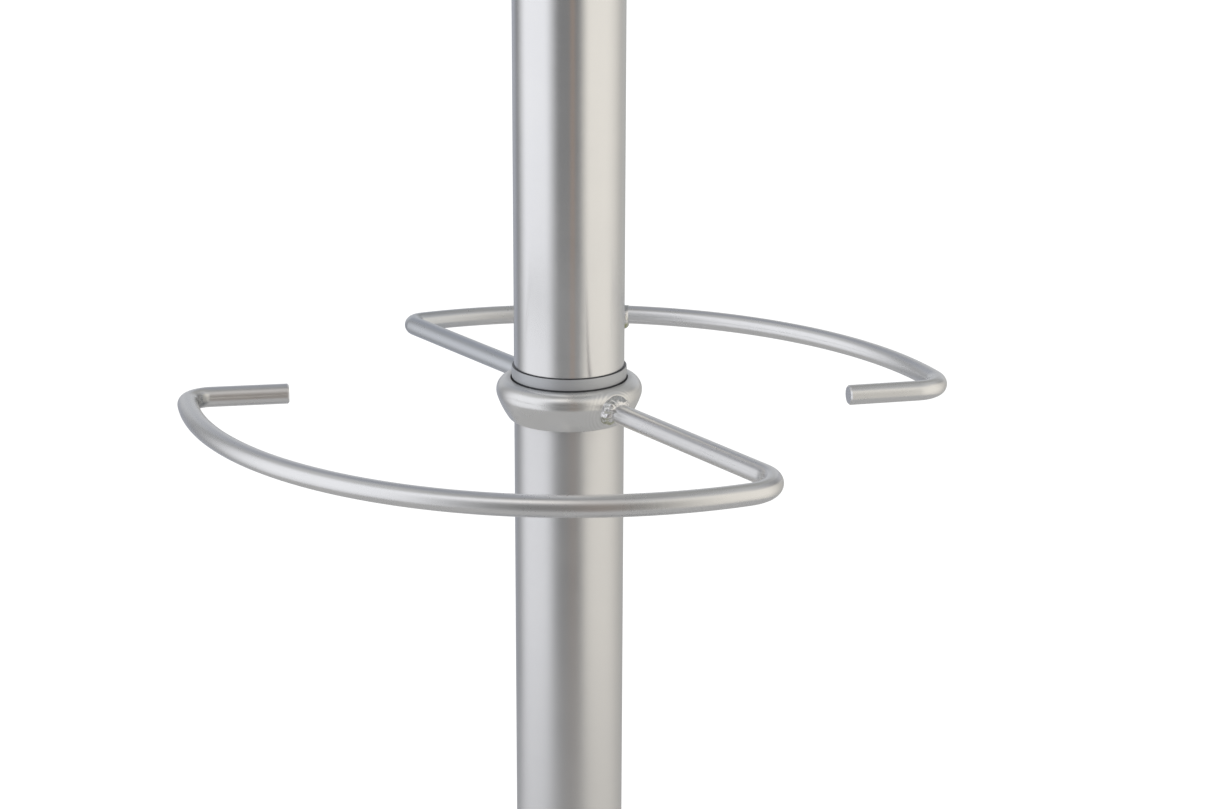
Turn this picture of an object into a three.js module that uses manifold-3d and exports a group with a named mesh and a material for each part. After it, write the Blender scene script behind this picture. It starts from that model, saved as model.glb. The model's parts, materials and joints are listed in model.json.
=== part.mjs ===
// Free-standing coat and umbrella stand: weighted base, three-piece tubular pole, a swivelling
// collar with two open rod loops for umbrellas, and a swivelling crown of four coat hooks.
// Millimetres, +Z up, origin on the floor under the middle of the pole.
import * as THREE from "three";
import { mergeVertices } from "three/addons/utils/BufferGeometryUtils.js";
import Module from "manifold-3d";

const DEG = Math.PI / 180;

// Facets round the parts that show, the hidden ones and the small ones, and round the wide base
const ROUND = 36;
const HIDDEN_ROUND = 24;
const SMALL_ROUND = 16;
const BEAD_ROUND = 12;
const BASE_ROUND = 48;

// Pole
const TUBE_R = 19;
const TUBE_WALL = 1.2;
const SLEEVE_R = TUBE_R + 0.35; // bore of whatever slips over a tube
const GAP = 0.3; // room left between neighbours

// Heights of the three joints: the plane of the rod loops, the plain joint and the hook crown
const LOOP_Z = 590;
const PLAIN_JOINT_Z = 1165;
const CROWN_Z = 1700;

// Rods
const ROD_R = 3.5;
const ROD_SIDES = 10;
const BEND_STEP = 18 * DEG;
const ARC_STEP = 6 * DEG;

// Collar: a turned steel ring, measured from the plane of its rods. A long flank leads up to a
// round hip and shoulder, and the top slopes up to the lip of the recess for the joint ring.
const COLLAR = {
  wideR: 25.15,
  flankR: 30,
  flankTurn: 35.3 * DEG,
  hipR: 4,
  hipZ: 2.8,
  hipTurn: 18 * DEG,
  shoulderR: 4.2,
  shoulderZ: 3.2,
  shoulderTurn: 80 * DEG,
  lipZ: 7.45,
  lipEdge: 0.3,
  recessR: 20.3,
  recessZ: 5.9,
  webZ: 3.5,
  webBoreR: 12.6,
  skirtBoreR: SLEEVE_R,
};

// Joint ring: its foot is stepped in where it drops into a collar's recess.
const JOINT_RING = {
  r: 19.9,
  boreR: 9,
  height: 5.4,
  footR: 19.4,
  footHeight: 1.9,
  bottomEdge: 0.3,
  topEdge: 0.4,
};
const SLIP_WASHER = { r: 18.6, boreR: 12.7, thickness: 1.5 };
const PLUG = { r: TUBE_R - TUBE_WALL - 0.25, depth: 28, spigotR: 12.3 };
const STUD = { r: 5, boreR: 5.3, below: -14, above: 18, point: 1 };

// Base
const FOOT = { r: 13, height: 3, edge: 1, circleR: 160, count: 6 };
const WEIGHT = { r: 182, bottomZ: FOOT.height + GAP, edge: 1, edgeZ: 12, topR: 26, topZ: 23 };
const WEIGHT_SHOULDER = { width: 3, height: 1.4 };
const COVER = { r: 190, wall: 1.5, bottomZ: 2.6, edgeZ: 8, shoulder: 7, topR: 22, topZ: 25.2 };
const COVER_TURN = 80 * DEG;
const ROSETTE = { r: 36, topR: 22, height: 9, rim: 0.8, rimTurn: 18 * DEG };
const BOLT = { r: 5, boreR: 5.5, headR: 8.5, headBottomZ: 4, headHeight: 6.4, recessR: 13.5, recessZ: 15.1 };
const BOLT_REACH = 22; // into the plug above the cover
const SPRING_WASHER = { r: 9, thickness: 2 };
const BASE_WASHER = { r: BOLT.recessR - 1, thickness: 1.8 };

// Crown
const HOOK = { count: 4, straightTo: 70, bendR: 28, turn: 80 * DEG, tip: 44 };
const HOOK_STEPS = 8;
const CAP = { r: 19.9, height: 17, skirt: 5, edge: 0.5, studReach: 9, holeSpare: 1 };

// The two umbrella loops. Each rod leaves the collar straight, turns back sharply, sweeps round
// past the front in one big arc and ends in a short inward hook. The rods are bent by hand, so the
// two differ by a few millimetres. Angles are measured from the loop's own front and from its X.
const LOOPS = [
  {
    name: "front",
    turned: 0,
    armAngle: 33.6 * DEG,
    armOffset: 2.8,
    arcX: 1.6,
    arcY: 18,
    arcR: 134.6,
    cornerR: 13,
    tipCornerR: 8,
    hookAngle: 8.9 * DEG,
    hookOffset: 19.2,
    hookLength: 26.7,
  },
  {
    name: "rear",
    turned: Math.PI,
    armAngle: 34.3 * DEG,
    armOffset: -5.3,
    arcX: -0.6,
    arcY: 19.4,
    arcR: 135,
    cornerR: 5,
    tipCornerR: 10.5,
    hookAngle: 12.3 * DEG,
    hookOffset: 19.2,
    hookLength: 25.4,
  },
];
const WELD = { boreR: ROD_R + GAP, r: 6, tipR: 4.6, length: 4, shoulder: 1.8 };
const SEAM_BEAD = { r: 4.7, length: 4.5, angle: 8.8 * DEG };

function metal(color, roughness) {
  return new THREE.MeshStandardMaterial({ color, roughness, metalness: 1 });
}

function plain(color, roughness) {
  return new THREE.MeshStandardMaterial({ color, roughness, metalness: 0 });
}

const SATIN_TUBE = metal(0xc9c9c8, 0.28);
const SATIN_ROD = metal(0xb4b5b6, 0.34);
const WELD_METAL = metal(0xbfc0bd, 0.4);
const ZINC = metal(0xa9acae, 0.45);
const CAST_IRON = metal(0x3b3b3d, 0.75);
const GREY_PLASTIC = plain(0x9aa0a6, 0.55);
const BLACK_RUBBER = plain(0x1b1b1c, 0.85);

const stand = new THREE.Group();

function place(name, geometry, material, parent = stand) {
  const mesh = new THREE.Mesh(geometry, material);
  mesh.name = name;
  parent.add(mesh);
  return mesh;
}

const wasm = await Module();
wasm.setup();

function solid(geometry) {
  const bare = new THREE.BufferGeometry();
  bare.setAttribute("position", geometry.getAttribute("position"));
  if (geometry.index) bare.setIndex(geometry.index);
  const merged = mergeVertices(bare, 1e-3);
  const vertProperties = merged.attributes.position.array;
  const triVerts = new Uint32Array(merged.index.array);
  return new wasm.Manifold(new wasm.Mesh({ numProp: 3, vertProperties, triVerts }));
}

function joined(a, b) {
  const mesh = solid(a).add(solid(b)).getMesh();
  const geometry = new THREE.BufferGeometry();
  geometry.setAttribute("position", new THREE.BufferAttribute(mesh.vertProperties, 3));
  return geometry.setIndex(new THREE.BufferAttribute(mesh.triVerts, 1));
}

// Points [radius, height] of an elliptical arc about (r, z), from angle a to angle b.
function arc(r, z, radiusR, radiusZ, a, b, steps) {
  return Array.from({ length: steps + 1 }, (_, i) => {
    const t = a + ((b - a) * i) / steps;
    return [r + radiusR * Math.cos(t), z + radiusZ * Math.sin(t)];
  });
}

// A solid of revolution about Z from an outline of [radius, height] points that starts and ends
// on the axis, anticlockwise with the radius to the right and the height up.
function spun(outline, sides) {
  const points = outline.map(([r, z]) => new THREE.Vector2(r, z));
  return new THREE.LatheGeometry(points, sides).rotateX(Math.PI / 2);
}

// The same for a closed outline that stays clear of the axis.
function turned(outline, sides = ROUND) {
  return spun([...outline, outline[0]], sides);
}

function washer(r, boreR, bottomZ, topZ, sides = ROUND) {
  return turned([[boreR, bottomZ], [r, bottomZ], [r, topZ], [boreR, topZ]], sides);
}

// A rod's centre line as stations that stand close together only where the rod bends.
class RodPath extends THREE.Curve {
  constructor() {
    super();
    this.points = [];
    this.tangents = [];
  }

  station(point, tangent) {
    this.points.push(point);
    this.tangents.push(tangent);
    return this;
  }

  index(u) {
    return Math.round(u * (this.points.length - 1));
  }

  getPointAt(u) {
    return this.points[this.index(u)].clone();
  }

  getTangentAt(u) {
    return this.tangents[this.index(u)].clone();
  }
}

function rod(path) {
  const section = new THREE.Shape();
  for (let i = 0; i < ROD_SIDES; i++) {
    const a = (2 * Math.PI * i) / ROD_SIDES;
    section[i ? "lineTo" : "moveTo"](ROD_R * Math.cos(a), ROD_R * Math.sin(a));
  }
  const steps = path.points.length - 1;
  return new THREE.ExtrudeGeometry(section, { steps, extrudePath: path, bevelEnabled: false });
}

// Where a bend of radius r joins a straight line to the inside of a big circle. The bend lies on
// the line's right (side -1) or left (side +1), seen along its direction.
function bendBetween(origin, direction, side, r, circle) {
  const normal = new THREE.Vector2(-direction.y, direction.x).multiplyScalar(side);
  const start = origin.clone().addScaledVector(normal, r).sub(circle.centre);
  const along = start.dot(direction);
  const inner = circle.r - r;
  const t = -along + Math.sqrt(along * along - start.dot(start) + inner * inner);
  const centre = start.clone().addScaledVector(direction, t);
  const onCircle = centre.clone().setLength(circle.r).add(circle.centre);
  centre.add(circle.centre);
  return { centre, onLine: centre.clone().addScaledVector(normal, -r), onCircle };
}

// Adds clockwise stations from one point to another about a centre, in the plane z = 0.
function sweep(path, centre, from, to, stepAngle, first) {
  const a0 = from.clone().sub(centre).angle();
  let turn = to.clone().sub(centre).angle() - a0;
  if (turn > 0) turn -= 2 * Math.PI;
  const radius = from.distanceTo(centre);
  const steps = Math.ceil(-turn / stepAngle);
  for (let i = first; i <= steps; i++) {
    const a = a0 + (turn * i) / steps;
    const point = new THREE.Vector3(centre.x + radius * Math.cos(a), centre.y + radius * Math.sin(a), 0);
    path.station(point, new THREE.Vector3(Math.sin(a), -Math.cos(a), 0));
  }
}

// Distance from the pole's axis at which a straight rod clears the collar, along the rod.
function armStart(offset) {
  const nearest = Math.max(0, Math.abs(offset) - ROD_R);
  return Math.sqrt((COLLAR.wideR + GAP) ** 2 - nearest ** 2);
}

function loopArm(loop) {
  const direction = new THREE.Vector2(Math.sin(loop.armAngle), -Math.cos(loop.armAngle));
  const origin = new THREE.Vector2(-direction.y, direction.x).multiplyScalar(loop.armOffset);
  return { direction, origin };
}

function loopPath(loop) {
  const { direction, origin } = loopArm(loop);
  const circle = { centre: new THREE.Vector2(loop.arcX, loop.arcY), r: loop.arcR };
  const corner = bendBetween(origin, direction, -1, loop.cornerR, circle);
  const inward = new THREE.Vector2(Math.cos(loop.hookAngle), Math.sin(loop.hookAngle));
  const outward = inward.clone().negate();
  const hookOrigin = new THREE.Vector2(0, loop.hookOffset);
  const tip = bendBetween(hookOrigin, outward, 1, loop.tipCornerR, circle);

  const path = new RodPath();
  const start = origin.clone().addScaledVector(direction, armStart(loop.armOffset));
  path.station(new THREE.Vector3(start.x, start.y, 0), new THREE.Vector3(direction.x, direction.y, 0));
  sweep(path, corner.centre, corner.onLine, corner.onCircle, BEND_STEP, 0);
  sweep(path, circle.centre, corner.onCircle, tip.onCircle, ARC_STEP, 1);
  sweep(path, tip.centre, tip.onCircle, tip.onLine, BEND_STEP, 1);
  const end = tip.onLine.clone().addScaledVector(inward, loop.hookLength);
  path.station(new THREE.Vector3(end.x, end.y, 0), new THREE.Vector3(inward.x, inward.y, 0));
  return path;
}

// A bead round a rod's root, its wide end towards the collar, lying along +X from x = 0.
function weldBead() {
  const { boreR, r, tipR, length, shoulder } = WELD;
  const outline = [[boreR, 0], [r, 0], [r, shoulder], [tipR, length], [boreR, length]];
  return turned(outline, BEAD_ROUND).rotateY(Math.PI / 2);
}

function collar() {
  const c = COLLAR;
  const hip = arc(c.wideR - c.hipR, c.hipZ, c.hipR, c.hipR, -c.hipTurn, 0, 2);
  const [flankTopR, flankTopZ] = hip[0];
  const flankCentreR = flankTopR - c.flankR * Math.cos(c.hipTurn);
  const flankCentreZ = flankTopZ + c.flankR * Math.sin(c.hipTurn);
  const flank = arc(flankCentreR, flankCentreZ, c.flankR, c.flankR, -c.flankTurn, -c.hipTurn, 2);
  const bottomZ = flank[0][1];
  return turned([
    [c.skirtBoreR, bottomZ],
    ...flank,
    ...hip.slice(1),
    ...arc(c.wideR - c.shoulderR, c.shoulderZ, c.shoulderR, c.shoulderR, 0, c.shoulderTurn, 4),
    [c.recessR + c.lipEdge, c.lipZ],
    [c.recessR, c.lipZ - c.lipEdge],
    [c.recessR, c.recessZ],
    [c.webBoreR, c.recessZ],
    [c.webBoreR, c.webZ],
    [c.skirtBoreR, c.webZ],
  ]);
}

// Heights of the stack at a joint that carries a collar, from the plane of its rods.
const STACK = {
  lowerTubeTop: COLLAR.webZ - 2 * GAP - SLIP_WASHER.thickness,
  ringBottom: COLLAR.recessZ + GAP,
};
STACK.ringTop = STACK.ringBottom + JOINT_RING.height;
STACK.upperTubeBottom = STACK.ringTop + GAP;

function tube(name, bottomZ, topZ) {
  place(name, washer(TUBE_R, TUBE_R - TUBE_WALL, bottomZ, topZ), SATIN_TUBE);
}

// A plug pressed into a tube's end, with a hole for the stud.
function plug(name, bottomZ, topZ) {
  place(name, washer(PLUG.r, STUD.boreR, bottomZ, topZ, HIDDEN_ROUND), ZINC);
}

// A plug in a lower tube's end whose spigot carries the ring that lies above the collar.
function spigotPlug(name, shoulderZ, topZ) {
  const outline = [
    [STUD.boreR, shoulderZ - PLUG.depth],
    [PLUG.r, shoulderZ - PLUG.depth],
    [PLUG.r, shoulderZ],
    [PLUG.spigotR, shoulderZ],
    [PLUG.spigotR, topZ],
    [STUD.boreR, topZ],
  ];
  place(name, turned(outline, HIDDEN_ROUND), ZINC);
}

function stud(name, bottomZ, topZ) {
  const outline = [
    [0, bottomZ],
    [STUD.r - STUD.point, bottomZ],
    [STUD.r, bottomZ + STUD.point],
    [STUD.r, topZ - STUD.point],
    [STUD.r - STUD.point, topZ],
    [0, topZ],
  ];
  place(name, spun(outline, SMALL_ROUND), ZINC);
}

function jointRing(name, bottomZ) {
  const { r, boreR, height, footR, footHeight, bottomEdge, topEdge } = JOINT_RING;
  const outline = [
    [boreR, 0],
    [footR - bottomEdge, 0],
    [footR, bottomEdge],
    [footR, footHeight],
    [r, footHeight],
    [r, height - topEdge],
    [r - topEdge, height],
    [boreR, height],
  ];
  place(name, turned(outline), GREY_PLASTIC).position.z = bottomZ;
}

function slipWasher(name, z) {
  const { r, boreR, thickness } = SLIP_WASHER;
  place(name, washer(r, boreR, z, z + thickness, HIDDEN_ROUND), GREY_PLASTIC);
}

function baseWeight() {
  const w = WEIGHT;
  const outline = [
    [BOLT.boreR, BOLT.recessZ],
    [BOLT.recessR, BOLT.recessZ],
    [BOLT.recessR, w.bottomZ],
    [w.r - w.edge, w.bottomZ],
    [w.r, w.bottomZ + w.edge],
    [w.r, w.edgeZ],
    [w.r - WEIGHT_SHOULDER.width, w.edgeZ + WEIGHT_SHOULDER.height],
    [w.topR, w.topZ],
    [BOLT.boreR, w.topZ],
  ];
  place("base_weight", turned(outline, BASE_ROUND), CAST_IRON);
}

// A spun steel shell over the weight: a flat middle, a shallow cone and a rolled-down rim.
function baseCover() {
  const c = COVER;
  const rimR = c.r - c.shoulder;
  const inner = c.shoulder - c.wall;
  const outline = [
    [c.r - c.wall, c.bottomZ],
    [c.r, c.bottomZ],
    ...arc(rimR, c.edgeZ, c.shoulder, c.shoulder, 0, COVER_TURN, 5),
    [c.topR, c.topZ],
    [BOLT.boreR, c.topZ],
    [BOLT.boreR, c.topZ - c.wall],
    [c.topR, c.topZ - c.wall],
    ...arc(rimR, c.edgeZ, inner, inner, COVER_TURN, 0, 4),
  ];
  place("base_cover", turned(outline, BASE_ROUND), SATIN_TUBE);
}

function floorPads() {
  const { r, height, edge, circleR, count } = FOOT;
  const outline = [[0, 0], [r - edge, 0], [r, edge], [r, height], [0, height]];
  for (let i = 0; i < count; i++) {
    const angle = (2 * Math.PI * i) / count;
    const pad = place(`floor_pad_${i + 1}`, spun(outline, SMALL_ROUND), BLACK_RUBBER);
    pad.position.set(circleR * Math.cos(angle), circleR * Math.sin(angle), 0);
  }
}

function baseRosette() {
  const { r, topR, height, rim, rimTurn } = ROSETTE;
  const foot = COVER.topZ + GAP;
  const outline = [
    [SLEEVE_R, foot],
    [COVER.topR, foot],
    [r, foot - rim],
    [r, foot + rim],
    ...arc(topR, foot + rim, r - topR, height - rim, rimTurn, Math.PI / 2, 5),
    [SLEEVE_R, foot + height],
  ];
  place("base_rosette", turned(outline), SATIN_TUBE);
}

// The bolt comes up from a recess under the weight into the plug in the lower tube's foot.
function baseBolt() {
  const { r, boreR, headR, headBottomZ, headHeight } = BOLT;
  const headTop = headBottomZ + headHeight;
  const shaftTop = COVER.topZ + GAP + BOLT_REACH;
  const root = headTop - STUD.point;
  const shaft = [[0, root], [r, root], [r, shaftTop - STUD.point], [r - STUD.point, shaftTop], [0, shaftTop]];
  const head = new THREE.CylinderGeometry(headR, headR, headHeight, 6).rotateX(Math.PI / 2);
  head.translate(0, 0, headBottomZ + headHeight / 2);
  place("base_bolt", joined(spun(shaft, SMALL_ROUND), head), ZINC);

  const springZ = headTop + GAP;
  const springTop = springZ + SPRING_WASHER.thickness;
  place("base_spring_washer", washer(SPRING_WASHER.r, boreR, springZ, springTop, SMALL_ROUND), ZINC);
  const flatZ = springTop + GAP;
  const flatTop = flatZ + BASE_WASHER.thickness;
  place("base_washer", washer(BASE_WASHER.r, boreR, flatZ, flatTop, SMALL_ROUND), ZINC);
}

// A collar joint: washer, collar and ring on the lower tube's spigot, and the next tube on top.
function collarJoint(prefix, collarName, z, group, studTop) {
  slipWasher(`${prefix}_slip_washer`, z + STACK.lowerTubeTop + GAP);
  place(collarName, collar(), SATIN_ROD, group);
  jointRing(`${prefix}_joint_ring`, z + STACK.ringBottom);
  stud(`${prefix}_joint_stud`, z + STUD.below, z + studTop);
}

function umbrellaLoop(loop, ring) {
  const group = new THREE.Group();
  group.rotation.z = loop.turned;
  ring.add(group);
  place(`${loop.name}_loop`, rod(loopPath(loop)), SATIN_ROD, group);

  const { direction, origin } = loopArm(loop);
  const weld = place(`${loop.name}_loop_weld`, weldBead(), WELD_METAL, group);
  const root = origin.addScaledVector(direction, COLLAR.wideR + GAP);
  weld.position.set(root.x, root.y, 0);
  weld.rotation.z = direction.angle();
}

// The rear loop's rod is two lengths butted together, with a bead round the seam.
function seamBead(loop, ring) {
  const { r, length, angle } = SEAM_BEAD;
  const sleeve = washer(r, WELD.boreR, -length / 2, length / 2, BEAD_ROUND);
  const bead = place("rear_loop_seam_weld", sleeve, WELD_METAL, ring);
  const a = loop.turned - Math.PI / 2 - angle;
  const centre = new THREE.Vector2(loop.arcX, loop.arcY).rotateAround(new THREE.Vector2(), loop.turned);
  bead.position.set(centre.x + loop.arcR * Math.cos(a), centre.y + loop.arcR * Math.sin(a), 0);
  bead.rotation.set(Math.PI / 2, 0, a, "ZXY");
}

function umbrellaRing() {
  const ring = new THREE.Group();
  ring.position.z = LOOP_Z;
  stand.add(ring);
  collarJoint("umbrella", "umbrella_collar", LOOP_Z, ring, STACK.upperTubeBottom + STUD.above);
  LOOPS.forEach((loop) => umbrellaLoop(loop, ring));
  seamBead(LOOPS[1], ring);
}

function hookPath() {
  const path = new RodPath();
  const { straightTo, bendR, turn, tip } = HOOK;
  path.station(new THREE.Vector3(COLLAR.wideR + GAP, 0, 0), new THREE.Vector3(1, 0, 0));
  for (let i = 0; i <= HOOK_STEPS; i++) {
    const a = (turn * i) / HOOK_STEPS;
    const point = new THREE.Vector3(straightTo + bendR * Math.sin(a), 0, bendR * (1 - Math.cos(a)));
    path.station(point, new THREE.Vector3(Math.cos(a), 0, Math.sin(a)));
  }
  const last = path.points.at(-1);
  const out = path.tangents.at(-1);
  return path.station(last.clone().addScaledVector(out, tip), out.clone());
}

function hookCrown() {
  const crown = new THREE.Group();
  crown.position.z = CROWN_Z;
  stand.add(crown);
  collarJoint("crown", "hook_collar", CROWN_Z, crown, STACK.upperTubeBottom + CAP.studReach);
  for (let i = 0; i < HOOK.count; i++) {
    const arm = new THREE.Group();
    arm.rotation.z = (2 * Math.PI * i) / HOOK.count;
    crown.add(arm);
    place(`coat_hook_${i + 1}`, rod(hookPath()), SATIN_ROD, arm);
    place(`coat_hook_weld_${i + 1}`, weldBead(), WELD_METAL, arm).position.x = COLLAR.wideR + GAP;
  }
}

function topCap() {
  const { r, height, skirt, edge, studReach, holeSpare } = CAP;
  const hole = studReach + holeSpare;
  const outline = [
    [0, hole],
    [STUD.boreR, hole],
    [STUD.boreR, 0],
    [r - edge, 0],
    [r, edge],
    ...arc(0, skirt, r, height - skirt, 0, Math.PI / 2, 8),
  ];
  place("top_cap", spun(outline, ROUND), SATIN_TUBE).position.z = CROWN_Z + STACK.upperTubeBottom;
}

function pole() {
  const foot = COVER.topZ + GAP;
  const loopJoint = LOOP_Z + STACK.lowerTubeTop;
  tube("lower_tube", foot, loopJoint);
  plug("lower_tube_bottom_plug", foot, foot + PLUG.depth);
  spigotPlug("lower_tube_top_plug", loopJoint, LOOP_Z + COLLAR.recessZ);

  const middleFoot = LOOP_Z + STACK.upperTubeBottom;
  tube("middle_tube", middleFoot, PLAIN_JOINT_Z);
  plug("middle_tube_bottom_plug", middleFoot, middleFoot + PLUG.depth);
  plug("middle_tube_top_plug", PLAIN_JOINT_Z - PLUG.depth, PLAIN_JOINT_Z);

  const ringTop = PLAIN_JOINT_Z + GAP + JOINT_RING.height;
  jointRing("plain_joint_ring", PLAIN_JOINT_Z + GAP);
  stud("plain_joint_stud", PLAIN_JOINT_Z + STUD.below, ringTop + STUD.above);

  const upperFoot = ringTop + GAP;
  const crownJoint = CROWN_Z + STACK.lowerTubeTop;
  tube("upper_tube", upperFoot, crownJoint);
  plug("upper_tube_bottom_plug", upperFoot, upperFoot + PLUG.depth);
  spigotPlug("upper_tube_top_plug", crownJoint, CROWN_Z + COLLAR.recessZ);
}

baseWeight();
baseCover();
floorPads();
baseRosette();
baseBolt();
pole();
umbrellaRing();
hookCrown();
topCap();

export default stand;
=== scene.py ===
"""The looks of a satin steel coat and umbrella stand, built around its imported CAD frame.

Outlines and paths are in millimetres, and the meshes made from them in metres.
"""

import json
import math

import bpy
from mathutils import Matrix, Vector, noise


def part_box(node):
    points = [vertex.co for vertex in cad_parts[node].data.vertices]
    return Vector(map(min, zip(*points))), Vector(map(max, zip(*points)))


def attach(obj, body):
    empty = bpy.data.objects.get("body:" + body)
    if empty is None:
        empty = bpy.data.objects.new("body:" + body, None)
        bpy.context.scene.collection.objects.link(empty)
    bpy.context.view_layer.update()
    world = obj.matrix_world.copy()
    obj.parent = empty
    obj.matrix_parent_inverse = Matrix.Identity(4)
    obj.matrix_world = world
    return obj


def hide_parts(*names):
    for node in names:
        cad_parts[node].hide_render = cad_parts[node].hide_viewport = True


MM = 0.001
DEG = math.pi / 180

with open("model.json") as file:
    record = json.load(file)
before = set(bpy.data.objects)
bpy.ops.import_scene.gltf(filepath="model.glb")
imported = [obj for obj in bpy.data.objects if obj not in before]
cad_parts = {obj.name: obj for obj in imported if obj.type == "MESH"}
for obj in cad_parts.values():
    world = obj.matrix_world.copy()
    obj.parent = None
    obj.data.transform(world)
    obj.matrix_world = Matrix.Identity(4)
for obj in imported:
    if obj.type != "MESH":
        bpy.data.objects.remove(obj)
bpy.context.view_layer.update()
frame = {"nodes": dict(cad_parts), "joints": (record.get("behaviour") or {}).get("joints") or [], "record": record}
record = frame["record"]
joints = {j["name"]: j for j in frame["joints"]}
body_of_node = {n: body for body, nodes in record["behaviour"]["bodies"].items() for n in nodes}
slot_of_node = {s["node"]: s["material_slot"] for s in record["subparts"]}

LOOP_Z = joints["umbrella_ring_swivel"]["pos_m"][2] / MM
CROWN_Z = joints["hook_crown_swivel"]["pos_m"][2] / MM

TUBE_R = 19
TUBE_WALL = 1.2
TUBE_CLEAR_R = 19.35  # hole that slips over a tube
ROD_R = 3.5
ROD_SUNK = 1.5  # how far a rod's root goes into its collar
COLLAR_R = 25.15
RING_FOOT_R = 19.55


# ---------------------------------------------------------------- camera and studio


def aim_camera():
    """A short telephoto in front of the stand, above the loops and looking down at their collar."""
    back, rise = 807.1 * MM, 237.5 * MM
    pitch, yaw, roll = 16.58 * DEG, 0.93 * DEG, 0.25 * DEG
    forward = Vector((math.sin(yaw) * math.cos(pitch), math.cos(yaw) * math.cos(pitch), -math.sin(pitch)))
    level = Vector((math.cos(yaw), -math.sin(yaw), 0))
    upright = level.cross(forward)
    right = level * math.cos(roll) + upright * math.sin(roll)
    up = right.cross(forward)
    camera = bpy.data.objects.new("camera", bpy.data.cameras.new("camera"))
    camera.data.sensor_width = 36
    camera.data.lens = 72.13
    turn = Matrix((right, up, -forward)).transposed().to_4x4()
    camera.matrix_world = Matrix.Translation((0, -back, LOOP_Z * MM + rise)) @ turn
    bpy.context.scene.collection.objects.link(camera)
    bpy.context.scene.camera = camera


class Graph:
    """A node tree with one-line ways to add and link nodes."""

    def __init__(self, tree):
        self.tree = tree
        tree.nodes.clear()

    def add(self, kind, inputs=None, **settings):
        node = self.tree.nodes.new(kind)
        for name, value in settings.items():
            setattr(node, name, value)
        for name, value in (inputs or {}).items():
            node.inputs[name].default_value = value
        return node

    def link(self, source, target):
        self.tree.links.new(source, target)

    def feed(self, socket, value):
        """Links another node's output to the socket, or sets the socket to a number or colour."""
        if isinstance(value, bpy.types.NodeSocket):
            self.link(value, socket)
        else:
            socket.default_value = value

    def math(self, operation, *values):
        node = self.add("ShaderNodeMath", operation=operation)
        for socket, value in zip(node.inputs, values):
            self.feed(socket, value)
        return node.outputs[0]

    def total(self, start, *parts):
        """start plus each part's value times its weight."""
        for value, weight in parts:
            start = self.math("ADD", start, self.math("MULTIPLY", value, weight))
        return start

    def ramp(self, value, low, high, to_low=0.0, to_high=1.0):
        """value eased from to_low at low to to_high at high."""
        node = self.add("ShaderNodeMapRange", interpolation_type="SMOOTHSTEP")
        for socket, v in zip(node.inputs[:5], (value, low, high, to_low, to_high)):
            self.feed(socket, v)
        return node.outputs[0]

    def mix(self, factor, a, b):
        """Colour a where factor is 0, and colour b where it is 1."""
        node = self.add("ShaderNodeMix", data_type="RGBA")
        colours = [s for s in node.inputs if s.type == "RGBA"]
        for socket, v in zip((node.inputs[0], *colours), (factor, a, b)):
            self.feed(socket, v)
        return next(s for s in node.outputs if s.type == "RGBA")

    def place(self):
        """The shaded point on the object, in metres."""
        return self.add("ShaderNodeTexCoord").outputs["Object"]

    def split(self, vector):
        node = self.add("ShaderNodeSeparateXYZ")
        self.link(vector, node.inputs[0])
        return node.outputs

    def distance_to(self, point):
        """Distance in metres of the shaded point from a point in mm."""
        node = self.add("ShaderNodeVectorMath", operation="DISTANCE")
        self.link(self.place(), node.inputs[0])
        node.inputs[1].default_value = point * MM
        return node.outputs["Value"]

    def facing_up(self):
        """The upward part of the surface's normal."""
        return self.split(self.add("ShaderNodeNewGeometry").outputs["Normal"])[2]


def grey(level):
    return (level, level, level, 1)


# The two soft boxes of the studio, in degrees: azimuths to the right of the camera, heights from
# level. edges: where a box fades in and out; lean: how far its upper part leans to the camera;
# lift: how much higher it reaches beside the camera; sink: how much lower it ends behind the
# object. Above the second height of BOX_TOP both fade, and above the first they are gone.
COOL_BOX = dict(edges=(-18, -52, -96, -136), lean=24, lift=20, sink=10, colour=(0.95, 0.955, 0.985, 1))
WARM_BOX = dict(edges=(15, 43, 78, 172), lean=0, lift=6, sink=32, colour=(0.90, 0.86, 0.79, 1))
BOX_TOP = (56, 37)


def box_light(g, lit, azimuth, height, box):
    """The surroundings with one soft box laid over them."""
    side = 1 if box["edges"][0] > 0 else -1
    near_dim, near_full, far_full, far_dim = box["edges"]
    rise = g.ramp(height, 25, 62)
    a = g.math("ADD", azimuth, g.math("MULTIPLY", rise, side * box["lean"]))
    wide = g.math("MULTIPLY", g.ramp(a, near_dim, near_full), g.ramp(a, far_dim, far_full))
    beside = g.ramp(azimuth, side * 85, side * 25)
    behind = g.math("MULTIPLY", g.ramp(azimuth, side * 88, side * 135), box["sink"])
    h = g.math("ADD", g.math("SUBTRACT", height, g.math("MULTIPLY", beside, box["lift"])), behind)
    low = g.math("MULTIPLY", g.ramp(height, -60, -4, 0.5, 1.0), g.ramp(height, -88, -60))
    tall = g.math("MULTIPLY", low, g.ramp(h, *BOX_TOP))
    return g.mix(g.math("MULTIPLY", wide, tall), lit, box["colour"])


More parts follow.
